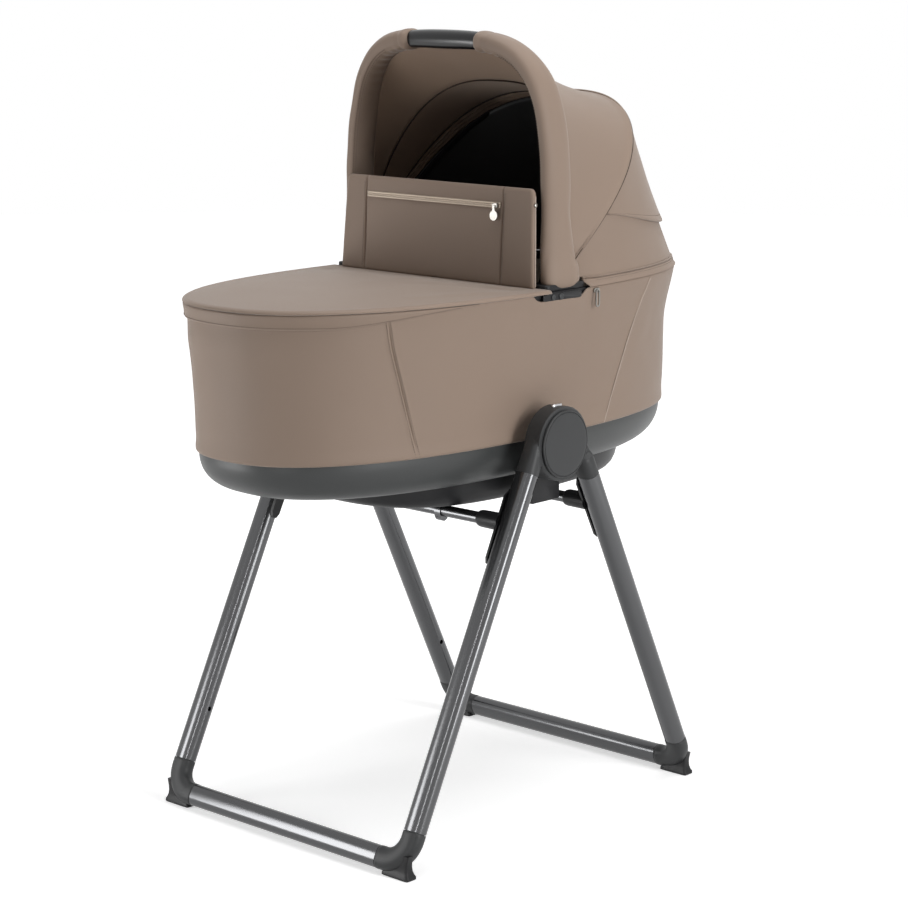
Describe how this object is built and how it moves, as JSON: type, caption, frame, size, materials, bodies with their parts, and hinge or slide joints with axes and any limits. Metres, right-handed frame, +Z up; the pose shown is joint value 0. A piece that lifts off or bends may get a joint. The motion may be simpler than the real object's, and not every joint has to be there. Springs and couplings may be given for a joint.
{
  "type": "bassinet with stand",
  "caption": "Fabric carrycot with a folding hood, windshield flap and apron, standing on a folding frame of oval tube with round side hubs.",
  "frame": {"origin": "on the floor, at the bottom centre of the whole part, below the middle of the tub", "axes": "+Z up; +X across the stand from hub to hub; +Y along the tub from its foot end to its hooded head end"},
  "size_m": [0.5362, 0.9336, 1.1881],
  "materials": {
    "satin_tube": "satin dark grey oval tube",
    "satin_alloy": "satin dark grey tube",
    "black_plastic": "matte black moulding",
    "charcoal_plastic": "fine grained charcoal moulding",
    "gloss_grip": "glossy black grip",
    "taupe_fabric": "smooth taupe woven fabric with a soft sheen",
    "cream_cotton": "soft cream cotton",
    "black_mesh": "fine black mesh",
    "zip_metal": "bright metal",
    "zip_tape": "satin zip tape",
    "spring_steel": "bare steel"
  },
  "bodies": {
    "stand_front": {"front_bar": "satin_tube", "front_leg_left": "satin_tube", "front_leg_right": "satin_tube", "front_elbow_left": "black_plastic", "front_elbow_right": "black_plastic", "front_socket_plate_left": "black_plastic", "front_socket_plate_right": "black_plastic", "front_cross_tube": "satin_tube", "cross_tube_collar": "black_plastic", "hub_housing_left": "charcoal_plastic", "hub_housing_right": "charcoal_plastic", "hub_cap_left": "charcoal_plastic", "hub_cap_right": "charcoal_plastic", "hub_pin_left": "spring_steel", "hub_pin_right": "spring_steel", "seat_bracket_left": "black_plastic", "seat_bracket_right": "black_plastic"},
    "stand_rear": {"rear_bar": "satin_tube", "rear_leg_left": "satin_tube", "rear_leg_right": "satin_tube", "rear_elbow_left": "black_plastic", "rear_elbow_right": "black_plastic", "rear_socket_plate_left": "black_plastic", "rear_socket_plate_right": "black_plastic", "rear_cross_tube": "satin_tube", "rear_arm_left": "charcoal_plastic", "rear_arm_right": "charcoal_plastic"},
    "tab_left": {"release_tab_left": "spring_steel"},
    "tab_right": {"release_tab_right": "spring_steel"},
    "bassinet": {"hull": "charcoal_plastic", "rocker_pod": "black_plastic", "side_cover": "taupe_fabric", "side_wall": "black_plastic", "inner_lining": "cream_cotton", "mattress": "cream_cotton", "apron": "taupe_fabric", "apron_band": "taupe_fabric", "hood_pivot_left": "black_plastic", "hood_pivot_right": "black_plastic", "hood_zip_slider_left": "zip_metal", "hood_zip_slider_right": "zip_metal"},
    "hood_loop_left": {"hood_zip_puller_left": "zip_metal"},
    "hood_loop_right": {"hood_zip_puller_right": "zip_metal"},
    "hood_middle": {"middle_bow": "black_plastic", "canopy_rear": "taupe_fabric", "vent_mesh": "black_mesh", "vent_flap": "taupe_fabric"},
    "hood_front": {"front_bow": "satin_alloy", "bow_sleeve_left": "taupe_fabric", "bow_sleeve_right": "taupe_fabric", "carry_grip": "gloss_grip", "canopy_front": "taupe_fabric"},
    "windshield_panel": {"windshield": "taupe_fabric", "pocket_zip": "zip_tape"},
    "pocket_slider": {"zip_slider": "zip_metal"},
    "pocket_puller": {"zip_puller": "zip_metal"}
  },
  "joints": [
    {"name": "stand_fold", "type": "hinge", "parent": "stand_front", "child": "stand_rear", "pos_m": [0, -0.02, 0.591], "axis": [1, 0, 0], "range_deg": [-52, 0]},
    {"name": "release_press_left", "type": "slide", "parent": "stand_front", "child": "tab_left", "axis": [0, 0, -1], "range_m": [0, 0.0015], "stiffness_N_per_m": 1500},
    {"name": "release_press_right", "type": "slide", "parent": "stand_front", "child": "tab_right", "axis": [0, 0, -1], "range_m": [0, 0.0015], "stiffness_N_per_m": 1500},
    {"name": "bassinet_lift", "type": "slide", "parent": "stand_front", "child": "bassinet", "axis": [0, 0, 1], "range_m": [0, 0.2]},
    {"name": "hood_middle_fold", "type": "hinge", "parent": "bassinet", "child": "hood_middle", "pos_m": [0, 0.027, 0.83], "axis": [1, 0, 0], "range_deg": [-30, 0], "deforming": ["canopy_rear", "vent_mesh", "vent_flap"]},
    {"name": "hood_front_fold", "type": "hinge", "parent": "hood_middle", "child": "hood_front", "pos_m": [0, 0.027, 0.83], "axis": [1, 0, 0], "range_deg": [-42, 0], "deforming": ["canopy_front", "bow_sleeve_left", "bow_sleeve_right"]},
    {"name": "windshield_fold", "type": "hinge", "parent": "bassinet", "child": "windshield_panel", "pos_m": [0, -0.0205, 0.8156], "axis": [1, 0, 0], "range_deg": [0, 65]},
    {"name": "pocket_zip_slide", "type": "slide", "parent": "windshield_panel", "child": "pocket_slider", "axis": [-1, 0, 0], "range_m": [0, 0.261]},
    {"name": "pocket_puller_swing", "type": "hinge", "parent": "pocket_slider", "child": "pocket_puller", "pos_m": [0.123, -0.02263, 0.9336], "axis": [1, 0, 0], "range_deg": [-150, 0]},
    {"name": "hood_loop_left_swing", "type": "hinge", "parent": "bassinet", "child": "hood_loop_left", "pos_m": [-0.22812, 0.096, 0.806], "axis": [0, 1, 0], "range_deg": [0, 120]},
    {"name": "hood_loop_right_swing", "type": "hinge", "parent": "bassinet", "child": "hood_loop_right", "pos_m": [0.22812, 0.096, 0.806], "axis": [0, -1, 0], "range_deg": [0, 120]}
  ],
  "couplings": [
    {"joint": "hood_middle_fold", "follows": "hood_front_fold", "ratio": 0.7142}
  ]
}
